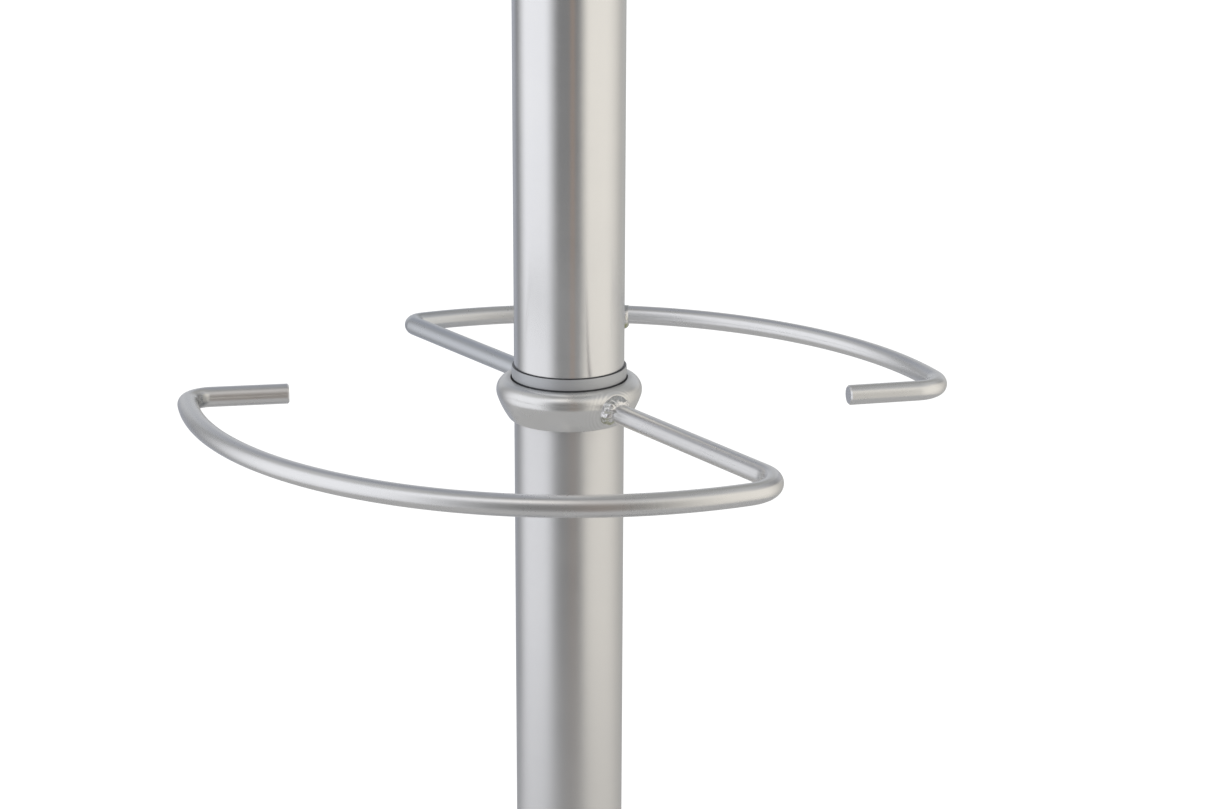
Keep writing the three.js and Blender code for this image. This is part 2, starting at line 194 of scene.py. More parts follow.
def room_light(g, azimuth, height):
    """A dim room with a pale ceiling, lighter low down behind the object, and a narrow brown
    strip just right of the camera."""
    ceiling = g.ramp(height, 18, 50, 0.20, 0.54)
    zenith = g.ramp(height, 60, 80, 0.0, 0.26)
    ground = g.ramp(height, -12, -45, 0.0, 0.15)
    front = g.math("SUBTRACT", g.math("ADD", ceiling, ground), zenith)
    back_tint = g.mix(g.ramp(azimuth, -40, 40), (0.39, 0.405, 0.45, 1), (0.41, 0.41, 0.40, 1))
    back_low = g.math("MULTIPLY", g.ramp(height, -10, 8), g.ramp(height, 34, 16))
    back_wall = g.mix(g.ramp(height, 10, 45, 0.0, 0.16), back_tint, (0, 0, 0, 1))
    back_wall = g.mix(back_low, back_wall, (0.58, 0.59, 0.61, 1))
    lit = g.mix(g.ramp(g.math("ABSOLUTE", azimuth), 122, 152), front, back_wall)
    brown = g.math("MULTIPLY", g.ramp(azimuth, 1, 5), g.ramp(azimuth, 14, 9))
    return g.mix(g.math("MULTIPLY", brown, 0.8), lit, (0.33, 0.25, 0.20, 1))


def lamp_light(g, lit, azimuth, height):
    """The surroundings with a small lamp high up over them, just left of the camera."""
    wide = g.ramp(g.math("ABSOLUTE", g.math("ADD", azimuth, 14)), 18, 6)
    tall = g.math("MULTIPLY", g.ramp(height, 42, 50), g.ramp(height, 88, 64))
    return g.mix(g.math("MULTIPLY", wide, tall), lit, (1.04, 1.01, 0.96, 1))


def studio():
    """Two tall soft boxes left and right of the camera, and a lamp, in a dim room. What the camera
    sees past the object is white."""
    world = bpy.data.worlds.new("studio")
    bpy.context.scene.world = world
    world.use_nodes = True
    g = Graph(world.node_tree)
    x, y, z = g.split(g.add("ShaderNodeTexCoord").outputs["Generated"])
    azimuth = g.math("DEGREES", g.math("ARCTAN2", x, g.math("MULTIPLY", y, -1.0)))
    height = g.math("DEGREES", g.math("ARCSINE", z))
    lit = room_light(g, azimuth, height)
    for box in (COOL_BOX, WARM_BOX):
        lit = box_light(g, lit, azimuth, height, box)
    lit = lamp_light(g, lit, azimuth, height)

    shown = g.add("ShaderNodeBackground", {"Color": (1, 1, 1, 1), "Strength": 1.1})
    lights = g.add("ShaderNodeBackground", {"Strength": 1.0})
    g.link(lit, lights.inputs[0])
    seen = g.add("ShaderNodeLightPath").outputs["Is Camera Ray"]
    either = g.add("ShaderNodeMixShader")
    g.link(seen, either.inputs[0])
    g.link(lights.outputs[0], either.inputs[1])
    g.link(shown.outputs[0], either.inputs[2])
    g.link(either.outputs[0], g.add("ShaderNodeOutputWorld").inputs[0])


def pale_floor():
    """A round white floor that shades softly under the base."""
    mesh = bpy.data.meshes.new("floor")
    count, radius = 96, 0.85
    drop = 0.0002  # keeps the floor just clear of the pads' undersides
    angles = [2 * math.pi * i / count for i in range(count)]
    ring = [(radius * math.cos(a), radius * math.sin(a), -drop) for a in angles]
    mesh.from_pydata(ring, [], [list(range(count))])
    floor = bpy.data.objects.new("floor", mesh)
    bpy.context.scene.collection.objects.link(floor)
    material = bpy.data.materials.new("pale_floor")
    material.use_nodes = True
    g = Graph(material.node_tree)
    matt = g.add("ShaderNodeBsdfDiffuse", {"Color": grey(0.72)})
    glow = g.add("ShaderNodeEmission", {"Color": (1, 1, 1, 1)})
    seen = g.add("ShaderNodeLightPath").outputs["Is Camera Ray"]
    g.link(g.ramp(seen, 0, 1, 0.03, 0.9), glow.inputs["Strength"])
    both = g.add("ShaderNodeAddShader")
    g.link(matt.outputs[0], both.inputs[0])
    g.link(glow.outputs[0], both.inputs[1])
    g.link(both.outputs[0], g.add("ShaderNodeOutputMaterial").inputs[0])
    mesh.materials.append(material)


# ---------------------------------------------------------------- materials


def surface(name, settings):
    """A new material, its graph, and its Principled shader wired to the output."""
    material = bpy.data.materials.new(name)
    material.use_nodes = True
    g = Graph(material.node_tree)
    shader = g.add("ShaderNodeBsdfPrincipled")
    for key, value in settings.items():
        shader.inputs[key].default_value = value
    g.link(shader.outputs[0], g.add("ShaderNodeOutputMaterial").inputs[0])
    return material, g, shader


def stretched_noise(g, scale, detail):
    """Noise over object space with a scale for each axis, in features per metre."""
    mapping = g.add("ShaderNodeMapping")
    mapping.inputs["Scale"].default_value = scale
    g.link(g.place(), mapping.inputs[0])
    texture = g.add("ShaderNodeTexNoise", {"Scale": 1, "Detail": detail})
    g.link(mapping.outputs[0], texture.inputs["Vector"])
    return texture.outputs["Fac"]


def bump(g, shader, height, depth):
    """Raises the surface by depth, in metres, where height is 1."""
    node = g.add("ShaderNodeBump", {"Strength": 1.0, "Distance": depth})
    g.link(height, node.inputs["Height"])
    g.link(node.outputs[0], shader.inputs["Normal"])


def satin_tube(shade=1.0, haze=0.0, scuffed=0.0):
    """Centreless-ground stainless tube: fine grain round the tube, faint clouds in the polish.
    scuffed roughens it further below the loops, where umbrellas brush against it."""
    finish = {"Metallic": 1.0, "Anisotropic": 0.7, "Anisotropic Rotation": 0.25}
    material, g, shader = surface("satin_tube", finish)
    clouds = stretched_noise(g, (60, 60, 45), 3)
    darker = (0.84 * shade, 0.845 * shade, 0.855 * shade, 1)
    bright = grey(0.91 * shade)
    g.link(g.mix(clouds, darker, bright), shader.inputs["Base Color"])
    grain = stretched_noise(g, (30, 30, 1400), 4)
    clean_z, scuffed_z = (LOOP_Z - 60) * MM, (LOOP_Z - 170) * MM
    rough = 0.17 + haze
    rough = g.ramp(g.split(g.place())[2], clean_z, scuffed_z, rough, rough + scuffed)
    g.link(g.total(rough, (clouds, 0.08), (grain, 0.05)), shader.inputs["Roughness"])
    tangent = g.add("ShaderNodeTangent", direction_type="RADIAL", axis="Z")
    g.link(tangent.outputs[0], shader.inputs["Tangent"])
    ripple = stretched_noise(g, (140, 140, 260), 2)
    bump(g, shader, g.total(ripple, (grain, 0.2)), 0.00003)
    return material


def satin_rod(painted_shade=None):
    """Drawn rod, brushed a little duller than the tube, with one loop's painted shade if given."""
    material, g, shader = surface("satin_rod", {"Metallic": 1.0})
    clouds = stretched_noise(g, (70, 70, 70), 3)
    steel = g.mix(clouds, (0.80, 0.805, 0.81, 1), (0.88, 0.88, 0.88, 1))
    # A loop's painted shade, laid over the steel colour.
    if painted_shade:
        steel = painted_shade(g, steel)
    g.link(steel, shader.inputs["Base Color"])
    fine = stretched_noise(g, (900, 900, 900), 2)
    g.link(g.total(0.22, (clouds, 0.08), (fine, 0.05)), shader.inputs["Roughness"])
    bump(g, shader, fine, 0.00001)
    return material


def near_arm(g, loop, far, near):
    """1 on a loop's arm, fading out along the arc, which lies to the arm's right, between two
    distances from the arm's line."""
    x, y, _ = g.split(g.place())
    direction, _ = arm_of(loop)
    side = -math.cos(loop["turned"])
    away = g.total(0.0, (y, side * direction.x), (x, -side * direction.y))
    return g.ramp(away, far * MM, near * MM)


def rear_arm_painted_shade(g, steel):
    """Painted shade: the arm is darkened to a cool bluish grey, fading out along the arc."""
    return g.mix(near_arm(g, LOOPS["rear"], 45, 8), steel, (0.70, 0.725, 0.76, 1))


def front_arm_painted_shade(g, steel):
    """Painted shade in a darker band along the arm's upper side, and a painted shadow in the crease inside the
    last bend.
    """
    up = g.facing_up()
    band = g.math("MULTIPLY", g.ramp(up, 0.54, 0.64), g.ramp(up, 0.92, 0.84))
    darker = g.math("MULTIPLY", near_arm(g, LOOPS["front"], 16, 8), band)
    # Painted shade: the arm's upward-facing band is darkened.
    steel = g.mix(darker, steel, (0.69, 0.695, 0.715, 1))
    centre, start, end = tip_bend(LOOPS["front"])
    apex = ((start + end) / 2 - centre).normalized()
    inside = centre + apex * (LOOPS["front"]["tip_corner_r"] - ROD_R)
    away = g.distance_to(Vector((inside.x, inside.y, LOOP_Z)))
    # Painted shadow inside the last bend.
    return g.mix(g.ramp(away, 3.7 * MM, 1.6 * MM), steel, (0.38, 0.39, 0.40, 1))


def axis_distance(g):
    """Distance of the shaded point from the pole's axis, and its height."""
    x, y, z = g.split(g.place())
    return g.math("SQRT", g.math("ADD", g.math("MULTIPLY", x, x), g.math("MULTIPLY", y, y))), z


def recess_painted_shade(g):
    """Painted shade: 1 in a collar's recess, fading out over its lip."""
    radius, z = axis_distance(g)
    outside_recess = g.ramp(radius, (RECESS_R - 0.1) * MM, (RECESS_R + 0.2) * MM)
    lip = g.ramp(radius, RECESS_R * MM, (RECESS_R + 2.4) * MM, 0.6, 1.0)
    over_loops = g.ramp(z, (LOOP_Z + 1) * MM, (LOOP_Z + 4) * MM)
    past_loops = g.ramp(z, (LOOP_Z + 40) * MM, (LOOP_Z + 60) * MM)
    over_crown = g.ramp(z, (CROWN_Z + 1) * MM, (CROWN_Z + 4) * MM)
    upper = g.math("ADD", g.math("SUBTRACT", over_loops, past_loops), over_crown)
    return g.math("MULTIPLY", upper, g.math("SUBTRACT", 1.0, g.math("MULTIPLY", outside_recess, lip)))


def grinding_marks(g):
    """Where the collar was ground round the loops' arms, and the rings that the wheel left."""
    reach, full, ring_gap = 13 * MM, 6 * MM, 1.2 * MM
    marks, rings = 0.0, 0.0
    for loop in LOOPS.values():
        direction, origin = arm_of(loop)
        root = Matrix.Rotation(loop["turned"], 3, "Z") @ (origin + direction * COLLAR_R).to_3d()
        away = g.distance_to(root + Vector((0, 0, LOOP_Z)))
        near = g.ramp(away, reach, full)
        wave = g.math("SINE", g.math("MULTIPLY", away, 2 * math.pi / ring_gap))
        marks = g.math("ADD", marks, near)
        rings = g.math("ADD", rings, g.math("MULTIPLY", near, wave))
    return marks, rings


def satin_collar():
    """The rods' finish with grinding marks round the welded arms, and painted shade in its recess, fading out over
    the lip.
    """
    material, g, shader = surface("satin_collar", {"Metallic": 1.0})
    clouds = stretched_noise(g, (90, 90, 90), 3)
    steel = g.mix(clouds, (0.80, 0.805, 0.80, 1), (0.88, 0.88, 0.875, 1))
    # Painted shade: the recess is nearly black, and the lip beside it is darkened.
    g.link(g.mix(recess_painted_shade(g), steel, (0.12, 0.12, 0.125, 1)), shader.inputs["Base Color"])
    marks, rings = grinding_marks(g)
    g.link(g.total(0.24, (clouds, 0.08), (marks, 0.1)), shader.inputs["Roughness"])
    scratch = g.math("MULTIPLY", stretched_noise(g, (500, 500, 1500), 3), marks)
    fine = stretched_noise(g, (900, 900, 900), 2)
    bump(g, shader, g.total(fine, (scratch, 4.0), (rings, 3.0)), 0.00001)
    return material


def weld_metal():
    """A brushed-over weld bead: lumpy, with painted shade greying its top, and olive heat tint, most of it
    underneath.
    """
    material, g, shader = surface("weld_metal", {"Metallic": 1.0, "Roughness": 0.24})
    patches = stretched_noise(g, (260, 260, 260), 4)
    up = g.facing_up()
    under = g.math("MULTIPLY", g.ramp(up, -0.15, -0.6, 0.0, 0.7), g.ramp(patches, 0.44, 0.58))
    tint = g.math("ADD", g.ramp(patches, 0.55, 0.72, 0, 0.4), under)
    # Painted shade: the upward faces are greyer.
    steel = g.mix(g.ramp(up, 0.35, 0.8), (0.88, 0.88, 0.89, 1), (0.64, 0.65, 0.65, 1))
    g.link(g.mix(tint, steel, (0.50, 0.52, 0.30, 1)), shader.inputs["Base Color"])
    bump(g, shader, stretched_noise(g, (700, 700, 700), 3), 0.0004)
    return material


def zinc_steel():
    """Zinc-plated steel with a faint crystal pattern, duller in some grains."""
    material, g, shader = surface("zinc_steel", {"Metallic": 1.0})
    flakes = stretched_noise(g, (300, 300, 300), 4)
    g.link(g.mix(flakes, (0.50, 0.52, 0.54, 1), (0.68, 0.69, 0.70, 1)), shader.inputs["Base Color"])
    g.link(g.ramp(flakes, 0, 1, 0.32, 0.5), shader.inputs["Roughness"])
    return material


def cast_iron():
    """Black-painted sand casting, rough all over."""
    material, g, shader = surface("cast_iron", {"Metallic": 0.6})
    grains = stretched_noise(g, (500, 500, 500), 5)
    g.link(g.mix(grains, (0.03, 0.03, 0.032, 1), (0.07, 0.07, 0.072, 1)), shader.inputs["Base Color"])
    g.link(g.ramp(grains, 0, 1, 0.6, 0.8), shader.inputs["Roughness"])
    bump(g, shader, grains, 0.0004)
    return material


def grey_plastic():
    """Smooth moulded plastic with a faint sheen, and painted shade on the ring's stepped-in foot."""
    material, g, shader = surface("grey_plastic", {"Metallic": 0.4})
    radius, _ = axis_distance(g)
    cloud = stretched_noise(g, (120, 120, 120), 3)
    grey_blue = g.mix(cloud, (0.57, 0.59, 0.62, 1), (0.63, 0.65, 0.675, 1))
    proud = g.ramp(radius, (RING_FOOT_R + 0.03) * MM, (RING_FOOT_R + 0.13) * MM)
    # Painted shade: the stepped-in foot below the proud band is nearly black.
    g.link(g.mix(proud, (0.16, 0.165, 0.18, 1), grey_blue), shader.inputs["Base Color"])
    g.link(g.ramp(cloud, 0, 1, 0.36, 0.46), shader.inputs["Roughness"])
    bump(g, shader, stretched_noise(g, (1500, 1500, 1500), 2), 0.00002)
    return material


def black_rubber():
    """Matt moulded rubber with a little dust."""
    material, g, shader = surface("black_rubber", {})
    dust = stretched_noise(g, (200, 200, 200), 4)
    g.link(g.mix(dust, (0.012, 0.012, 0.012, 1), (0.03, 0.03, 0.03, 1)), shader.inputs["Base Color"])
    g.link(g.ramp(dust, 0, 1, 0.65, 0.85), shader.inputs["Roughness"])
    bump(g, shader, stretched_noise(g, (1200, 1200, 1200), 2), 0.00005)
    return material


# ---------------------------------------------------------------- mesh tools


ON_AXIS = 1e-6  # a smaller radius than this counts as none


def piece(node, verts, faces, material=None, sharp=32 * DEG):
    """A fine mesh, from verts in mm, that stands for a CAD node on its body. It has the finish of
    the node's slot, or the given variant of that finish."""
    mesh = bpy.data.meshes.new(node + "_fine")
    mesh.from_pydata([Vector(v) * MM for v in verts], [], faces)
    mesh.shade_smooth()
    mesh.set_sharp_from_angle(angle=sharp)
    mesh.materials.append(material or MATERIALS[slot_of_node[node]])
    obj = bpy.data.objects.new(node + "_fine", mesh)
    bpy.context.scene.collection.objects.link(obj)
    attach(obj, body_of_node[node])
    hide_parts(node)


def arc(r, z, radius_r, radius_z, start, end, steps):
    """Outline points on an elliptical arc about (r, z), from angle start to angle end."""
    angles = [start + (end - start) * i / steps for i in range(steps + 1)]
    return [(r + radius_r * math.cos(a), z + radius_z * math.sin(a)) for a in angles]


def rounded(outline, steps=4):
    """The outline with each (r, z, radius) corner replaced by an arc of that radius."""
    points = []
    for i, corner in enumerate(outline):
        if len(corner) == 2:
            points.append(corner)
            continue
        radius = corner[2]
        here = Vector(corner[:2])
        before = (Vector(outline[i - 1][:2]) - here).normalized()
        after = (Vector(outline[(i + 1) % len(outline)][:2]) - here).normalized()
        half = before.angle(after) / 2
        centre = here + (before + after).normalized() * radius / math.sin(half)
        start = here + before * radius / math.tan(half) - centre
        end = here + after * radius / math.tan(half) - centre
        for k in range(steps + 1):
            points.append(tuple(centre + start.lerp(end, k / steps).normalized() * radius))
    return points


def lathe(outline, base_z=0.0, sides=160, closed=True):
    """Vertices and faces of the outline, anticlockwise in radius and height, turned about Z."""
    verts, rows = [], []
    for r, z in rounded(outline):
        if r < ON_AXIS:
            rows.append([len(verts)] * sides)
            verts.append((0, 0, base_z + z))
            continue
        rows.append([len(verts) + j for j in range(sides)])
        for j in range(sides):
            a = 2 * math.pi * j / sides
            verts.append((r * math.cos(a), r * math.sin(a), base_z + z))
    faces = []
    pairs = zip(rows, rows[1:] + rows[:1]) if closed else zip(rows, rows[1:])
    for low, high in pairs:
        for j in range(sides):
            k = (j + 1) % sides
            corners = [low[j], low[k], high[k], high[j]]
            faces.append([v for i, v in enumerate(corners) if v not in corners[:i]])
    return verts, [f for f in faces if len(f) > 2]


def skin_rings(rings, sides):
    """Faces over rings of vertices that follow one another, closed flat at both ends."""
    faces = []
    for i in range(rings - 1):
        for j in range(sides):
            k = (j + 1) % sides
            faces.append((i * sides + j, i * sides + k, (i + 1) * sides + k, (i + 1) * sides + j))
    last = (rings - 1) * sides
    faces.append(tuple(reversed(range(sides))))
    faces.append(tuple(range(last, last + sides)))
    return faces


def sweep_rod(path, bevel=0.5, sides=32):
    """A round rod along (point, tangent) stations, with a small bevel at both cut ends. The first
    tangent is level."""
    root, out = path[0]
    tip, onward = path[-1]
    rings = [(root, out, ROD_R - bevel), (root + out * bevel, out, ROD_R)]
    rings += [(point, tangent, ROD_R) for point, tangent in path[1:-1]]
    rings += [(tip - onward * bevel, onward, ROD_R), (tip, onward, ROD_R - bevel)]
    side = out.cross(Vector((0, 0, 1))).normalized()
    verts = []
    for centre, tangent, r in rings:
        side = (side - tangent * side.dot(tangent)).normalized()
        other = tangent.cross(side)
        for j in range(sides):
            a = 2 * math.pi * j / sides
            verts.append(centre + side * r * math.cos(a) + other * r * math.sin(a))
    return verts, skin_rings(len(rings), sides)


# ---------------------------------------------------------------- pole


def tube(node, steel):
    """A length of the pole, seated a little lower on its ring than in the CAD model."""
    low, high = (c.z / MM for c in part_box(node))
    bore, edge, seated = TUBE_R - TUBE_WALL, 0.15, 0.15
    low -= seated
    outline = [(bore, low, edge), (TUBE_R, low, edge), (TUBE_R, high, edge), (bore, high, edge)]
    piece(node, *lathe(outline, sides=192), material=steel)


def joint_ring(node):
    """A barrel-shaped band over a foot that is stepped in."""
    low, high = (c.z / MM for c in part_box(node))
    bore, band_r, foot_high, swell, edge = 9, 19.9, 1.62, 0.12, 0.2
    middle, half = (low + foot_high + high) / 2, (high - low - foot_high) / 2
    outline = [(bore, low, edge), (RING_FOOT_R, low, edge), (RING_FOOT_R, low + foot_high)]
    steps = 8
    for i in range(steps + 1):
        t = 2 * i / steps - 1
        outline.append((band_r - swell * t * t, middle + half * t))
    outline.append((bore, high, edge))
    piece(node, *lathe(outline))


def top_cap():
    """A domed cap with a blind hole for the stud's head."""
    low, high = (c.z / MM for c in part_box("top_cap"))
    cap_r, skirt, bevel, hole_r, hole_depth = 19.9, 5, 0.4, 5.3, 10
    outline = [(0, hole_depth), (hole_r, hole_depth), (hole_r, 0), (cap_r - bevel, 0), (cap_r, bevel)]
    outline += arc(0, skirt, cap_r, high - low - skirt, 0, math.pi / 2, steps=24)
    piece("top_cap", *lathe(outline, low, closed=False))


# ---------------------------------------------------------------- collars


# Radii and turns of the collar's outside from its lower edge up, and the places of its recess and
# web. Heights are from the plane of the rods' axes.
FLANK_R, FLANK_TURN = 30, 34.9 * DEG
HIP_R, HIP_Z, HIP_TURN = 4, 2.8, 18 * DEG
SHOULDER_R, SHOULDER_Z, SHOULDER_TURN = 4.2, 3.2, 80 * DEG
LIP_Z, RECESS_R, RECESS_Z, WEB_Z, WEB_BORE_R = 7.45, 20.12, 5.9, 3.5, 12.6
HEEL, LIP_EDGE, EDGE_STEPS = 0.35, 0.35, 6


def collar_skin(steps):
    """The collar's outside from its lower edge up to the lip of the recess."""
    hip = arc(COLLAR_R - HIP_R, HIP_Z, HIP_R, HIP_R, -HIP_TURN, 0, steps)
    centre_r = hip[0][0] - FLANK_R * math.cos(HIP_TURN)
    centre_z = hip[0][1] + FLANK_R * math.sin(HIP_TURN)
    flank = arc(centre_r, centre_z, FLANK_R, FLANK_R, -FLANK_TURN, -HIP_TURN, steps)
    foot_r, foot_z = flank[0]
    heel_r, heel_z = foot_r - HEEL * math.cos(FLANK_TURN), foot_z + HEEL * math.sin(FLANK_TURN)
    heel = arc(heel_r, heel_z, HEEL, HEEL, -math.pi / 2, -FLANK_TURN, EDGE_STEPS)
    shoulder = arc(COLLAR_R - SHOULDER_R, SHOULDER_Z, SHOULDER_R, SHOULDER_R, 0, SHOULDER_TURN, steps)
    lip_r, lip_z = RECESS_R + LIP_EDGE, LIP_Z - LIP_EDGE
    lip = arc(lip_r, lip_z, LIP_EDGE, LIP_EDGE, SHOULDER_TURN, math.pi, EDGE_STEPS)
    return heel + flank[1:] + hip[1:] + shoulder + lip


def collar_outline():
    """A ring with a swelling flank, a round hip and shoulder, a recess for the grey ring and a web."""
    skin = collar_skin(16)
    recess = [(RECESS_R, RECESS_Z), (WEB_BORE_R, RECESS_Z)]
    web = [(WEB_BORE_R, WEB_Z), (TUBE_CLEAR_R, WEB_Z)]
    return [(TUBE_CLEAR_R, skin[0][1])] + skin + recess + web


OUTSIDE = [(r, z) for r, z in collar_skin(8) if r > RECESS_R]


def collar_radius(z):
    """Outside radius of the collar at a height from the rods' plane."""
    for (r0, z0), (r1, z1) in zip(OUTSIDE, OUTSIDE[1:]):
        if z0 <= z <= z1 and z1 > z0:
            return r0 + (r1 - r0) * (z - z0) / (z1 - z0)
    return OUTSIDE[0][0] if z < 0 else OUTSIDE[-1][0]


def collar(node, base_z):
    piece(node, *lathe(collar_outline(), base_z), material=COLLAR_STEEL, sharp=50 * DEG)


def fillet(a, t, seed):
    """Radius about the rod and lift along it of an uneven weld fillet, at angle a round the rod,
    from its toe on the collar, where t is 0, to its edge on the rod, where t is a quarter turn."""
    sunk_rod, sunk_collar = 0.12, 0.35
    ca, sa = math.cos(a), math.sin(a)
    broad = noise.noise(Vector((ca * 1.6, sa * 1.6, seed)))
    ripple = abs(math.sin(6.5 * a + 2.5 * broad + 0.7 * t)) - 0.5
    lump = noise.noise(Vector((ca * 5, sa * 5, 2.2 * t + seed)))
    swell = math.sin(2 * t) * (0.28 * ripple + 0.5 * lump)
    toe = 1.5 + 0.8 * broad + 1.7 * max(0, -ca) + 0.9 * sa
    reach = 2.6 + 0.6 * broad + 0.9 * max(0, -ca)
    radius = ROD_R - sunk_rod + toe * math.cos(t) + swell
    lift = -sunk_collar + (reach + sunk_collar) * math.sin(t) + 0.6 * swell
    return radius, lift


def weld_bead(node, direction, offset, base_z, seed):
    """An uneven fillet round a rod's root, draped on the collar. The rod lies along direction,
    offset to its left from the pole's axis."""
    along = direction.normalized()
    left = Vector((-along.y, along.x, 0))
    around, across = 96, 26
    lowest, highest = -6, LIP_Z - 0.6
    verts = []
    for i in range(across + 1):
        t = i / across * math.pi / 2
        for j in range(around):
            a = 2 * math.pi * j / around
            radius, lift = fillet(a, t, seed)
            aside, up = offset + radius * math.cos(a), radius * math.sin(a)
            skin = collar_radius(max(lowest, min(highest, up)))
            depth = math.sqrt(max(1, skin**2 - aside**2))
            verts.append(left * aside + along * (depth + lift) + Vector((0, 0, base_z + up)))
    piece(node, verts, skin_rings(across + 1, around), sharp=80 * DEG)


# ---------------------------------------------------------------- umbrella loops

# The same hand-bent loops as in the CAD model. An arm's angle is measured from the loop's own front
# and a hook's from its X; the rear loop is turned half round.
LOOPS = {
    "front": dict(
        turned=0, arm=33.6 * DEG, arm_offset=2.8, corner_r=13, arc_centre=(1.6, 18), arc_r=134.6,
        tip_corner_r=8, hook=8.9 * DEG, hook_offset=19.2, hook_length=26.7,
    ),
    "rear": dict(
        turned=math.pi, arm=34.3 * DEG, arm_offset=-5.3, corner_r=5, arc_centre=(-0.6, 19.4), arc_r=135,
        tip_corner_r=10.5, hook=12.3 * DEG, hook_offset=19.2, hook_length=25.4,
    ),
}


def bend_between(origin, direction, side, r, centre, big_r):
    """Centre and ends of a bend of radius r from a line to the inside of a big circle. side is 1
    where the bend is to the line's left and -1 where it is to its right."""
    normal = Vector((-direction.y, direction.x)) * side
    start = origin + normal * r - centre
    along = start.dot(direction)
    t = -along + math.sqrt(along**2 - start.dot(start) + (big_r - r) ** 2)
    bend = start + direction * t
    on_circle = bend.normalized() * big_r + centre
    bend += centre
    return bend, bend - normal * r, on_circle


def clockwise(centre, start, end, step):
    """Stations from start to end clockwise about centre, without the first."""
    a0 = math.atan2(start.y - centre.y, start.x - centre.x)
    turn = math.atan2(end.y - centre.y, end.x - centre.x) - a0
    turn = -((-turn) % (2 * math.pi))
    r = (start - centre).length
    steps = math.ceil(-turn / step)
    stations = []
    for i in range(1, steps + 1):
        a = a0 + turn * i / steps
        point = Vector((centre.x + r * math.cos(a), centre.y + r * math.sin(a), 0))
        stations.append((point, Vector((math.sin(a), -math.cos(a), 0))))
    return stations


def straight(start, end):
    """Stations along a straight stretch, without the first."""
    spacing = 6
    run = end - start
    count = max(1, round(run.length / spacing))
    tangent = run.normalized().to_3d()
    return [((start + run * i / count).to_3d(), tangent) for i in range(1, count + 1)]


def arm_of(loop):
    """The arm's direction, and the point of its line nearest the pole's axis."""
    direction = Vector((math.sin(loop["arm"]), -math.cos(loop["arm"])))
    return direction, Vector((-direction.y, direction.x)) * loop["arm_offset"]


def hook_inward(loop):
    """The direction of the hook, from the last bend to its cut end."""
    return Vector((math.cos(loop["hook"]), math.sin(loop["hook"])))


def tip_bend(loop):
    """Centre of the last bend and its ends, on the hook and on the arc."""
    start = Vector((0, loop["hook_offset"]))
    centre = Vector(loop["arc_centre"])
    return bend_between(start, -hook_inward(loop), 1, loop["tip_corner_r"], centre, loop["arc_r"])


def loop_path(loop):
    """Stations along a loop's rod, from its root in the collar to its cut end."""
    direction, origin = arm_of(loop)
    centre = Vector(loop["arc_centre"])
    corner_r, arc_r = loop["corner_r"], loop["arc_r"]
    corner, corner_in, corner_out = bend_between(origin, direction, -1, corner_r, centre, arc_r)
    tip, tip_out, tip_in = tip_bend(loop)
    start = origin + direction * (COLLAR_R - ROD_SUNK)
    path = [(start.to_3d(), direction.to_3d())]
    path += straight(start, corner_in)
    path += clockwise(corner, corner_in, corner_out, 5 * DEG)
    path += clockwise(centre, corner_out, tip_in, 1.2 * DEG)
    path += clockwise(tip, tip_in, tip_out, 5 * DEG)
    path += straight(tip_out, tip_out + hook_inward(loop) * loop["hook_length"])
    turn = Matrix.Rotation(loop["turned"], 3, "Z")
    lift = Vector((0, 0, LOOP_Z))
    return [(turn @ point + lift, turn @ tangent) for point, tangent in path]


def umbrella_loop(name, marks, seed):
    """A loop's rod in its own finish with painted shade, and the weld at its root."""
    loop = LOOPS[name]
    piece(f"{name}_loop", *sweep_rod(loop_path(loop)), material=satin_rod(marks))
    direction, _ = arm_of(loop)
    turn = Matrix.Rotation(loop["turned"], 3, "Z")
    weld_bead(f"{name}_loop_weld", turn @ direction.to_3d(), loop["arm_offset"], LOOP_Z, seed)


def seam_bead():
    """The rough collar of weld round the seam in the rear loop's rod, sagging underneath."""
    node = "rear_loop_seam_weld"
    loop = LOOPS["rear"]
    low, high = (Vector(c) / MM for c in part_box(node))
    middle = (low + high) / 2
    centre = Matrix.Rotation(loop["turned"], 3, "Z") @ Vector(loop["arc_centre"]).to_3d()
    side = (middle - centre).to_2d().normalized().to_3d()
    axis = Vector((-side.y, side.x, 0))
    around, along, half = 56, 18, 2.4
    sunk, proud, sagging, roughness = 0.3, 0.5, 1.9, 0.3
    verts = []
    for i in range(along + 1):
        t = 2 * i / along - 1
        crown = math.sqrt(max(0, 1 - t * t))
        for j in range(around):
            a = 2 * math.pi * j / around
            ca, sa = math.cos(a), math.sin(a)
            sag = sagging * (0.5 - 0.5 * sa) ** 1.5
            lump = roughness * noise.noise(Vector((ca * 3, sa * 3, t * 3 + 9)))
            r = ROD_R - sunk + (proud + sag + lump) * crown
            verts.append(middle + axis * half * t + side * r * ca + Vector((0, 0, r * sa)))
    piece(node, verts, skin_rings(along + 1, around), sharp=80 * DEG)


# ---------------------------------------------------------------- hook crown


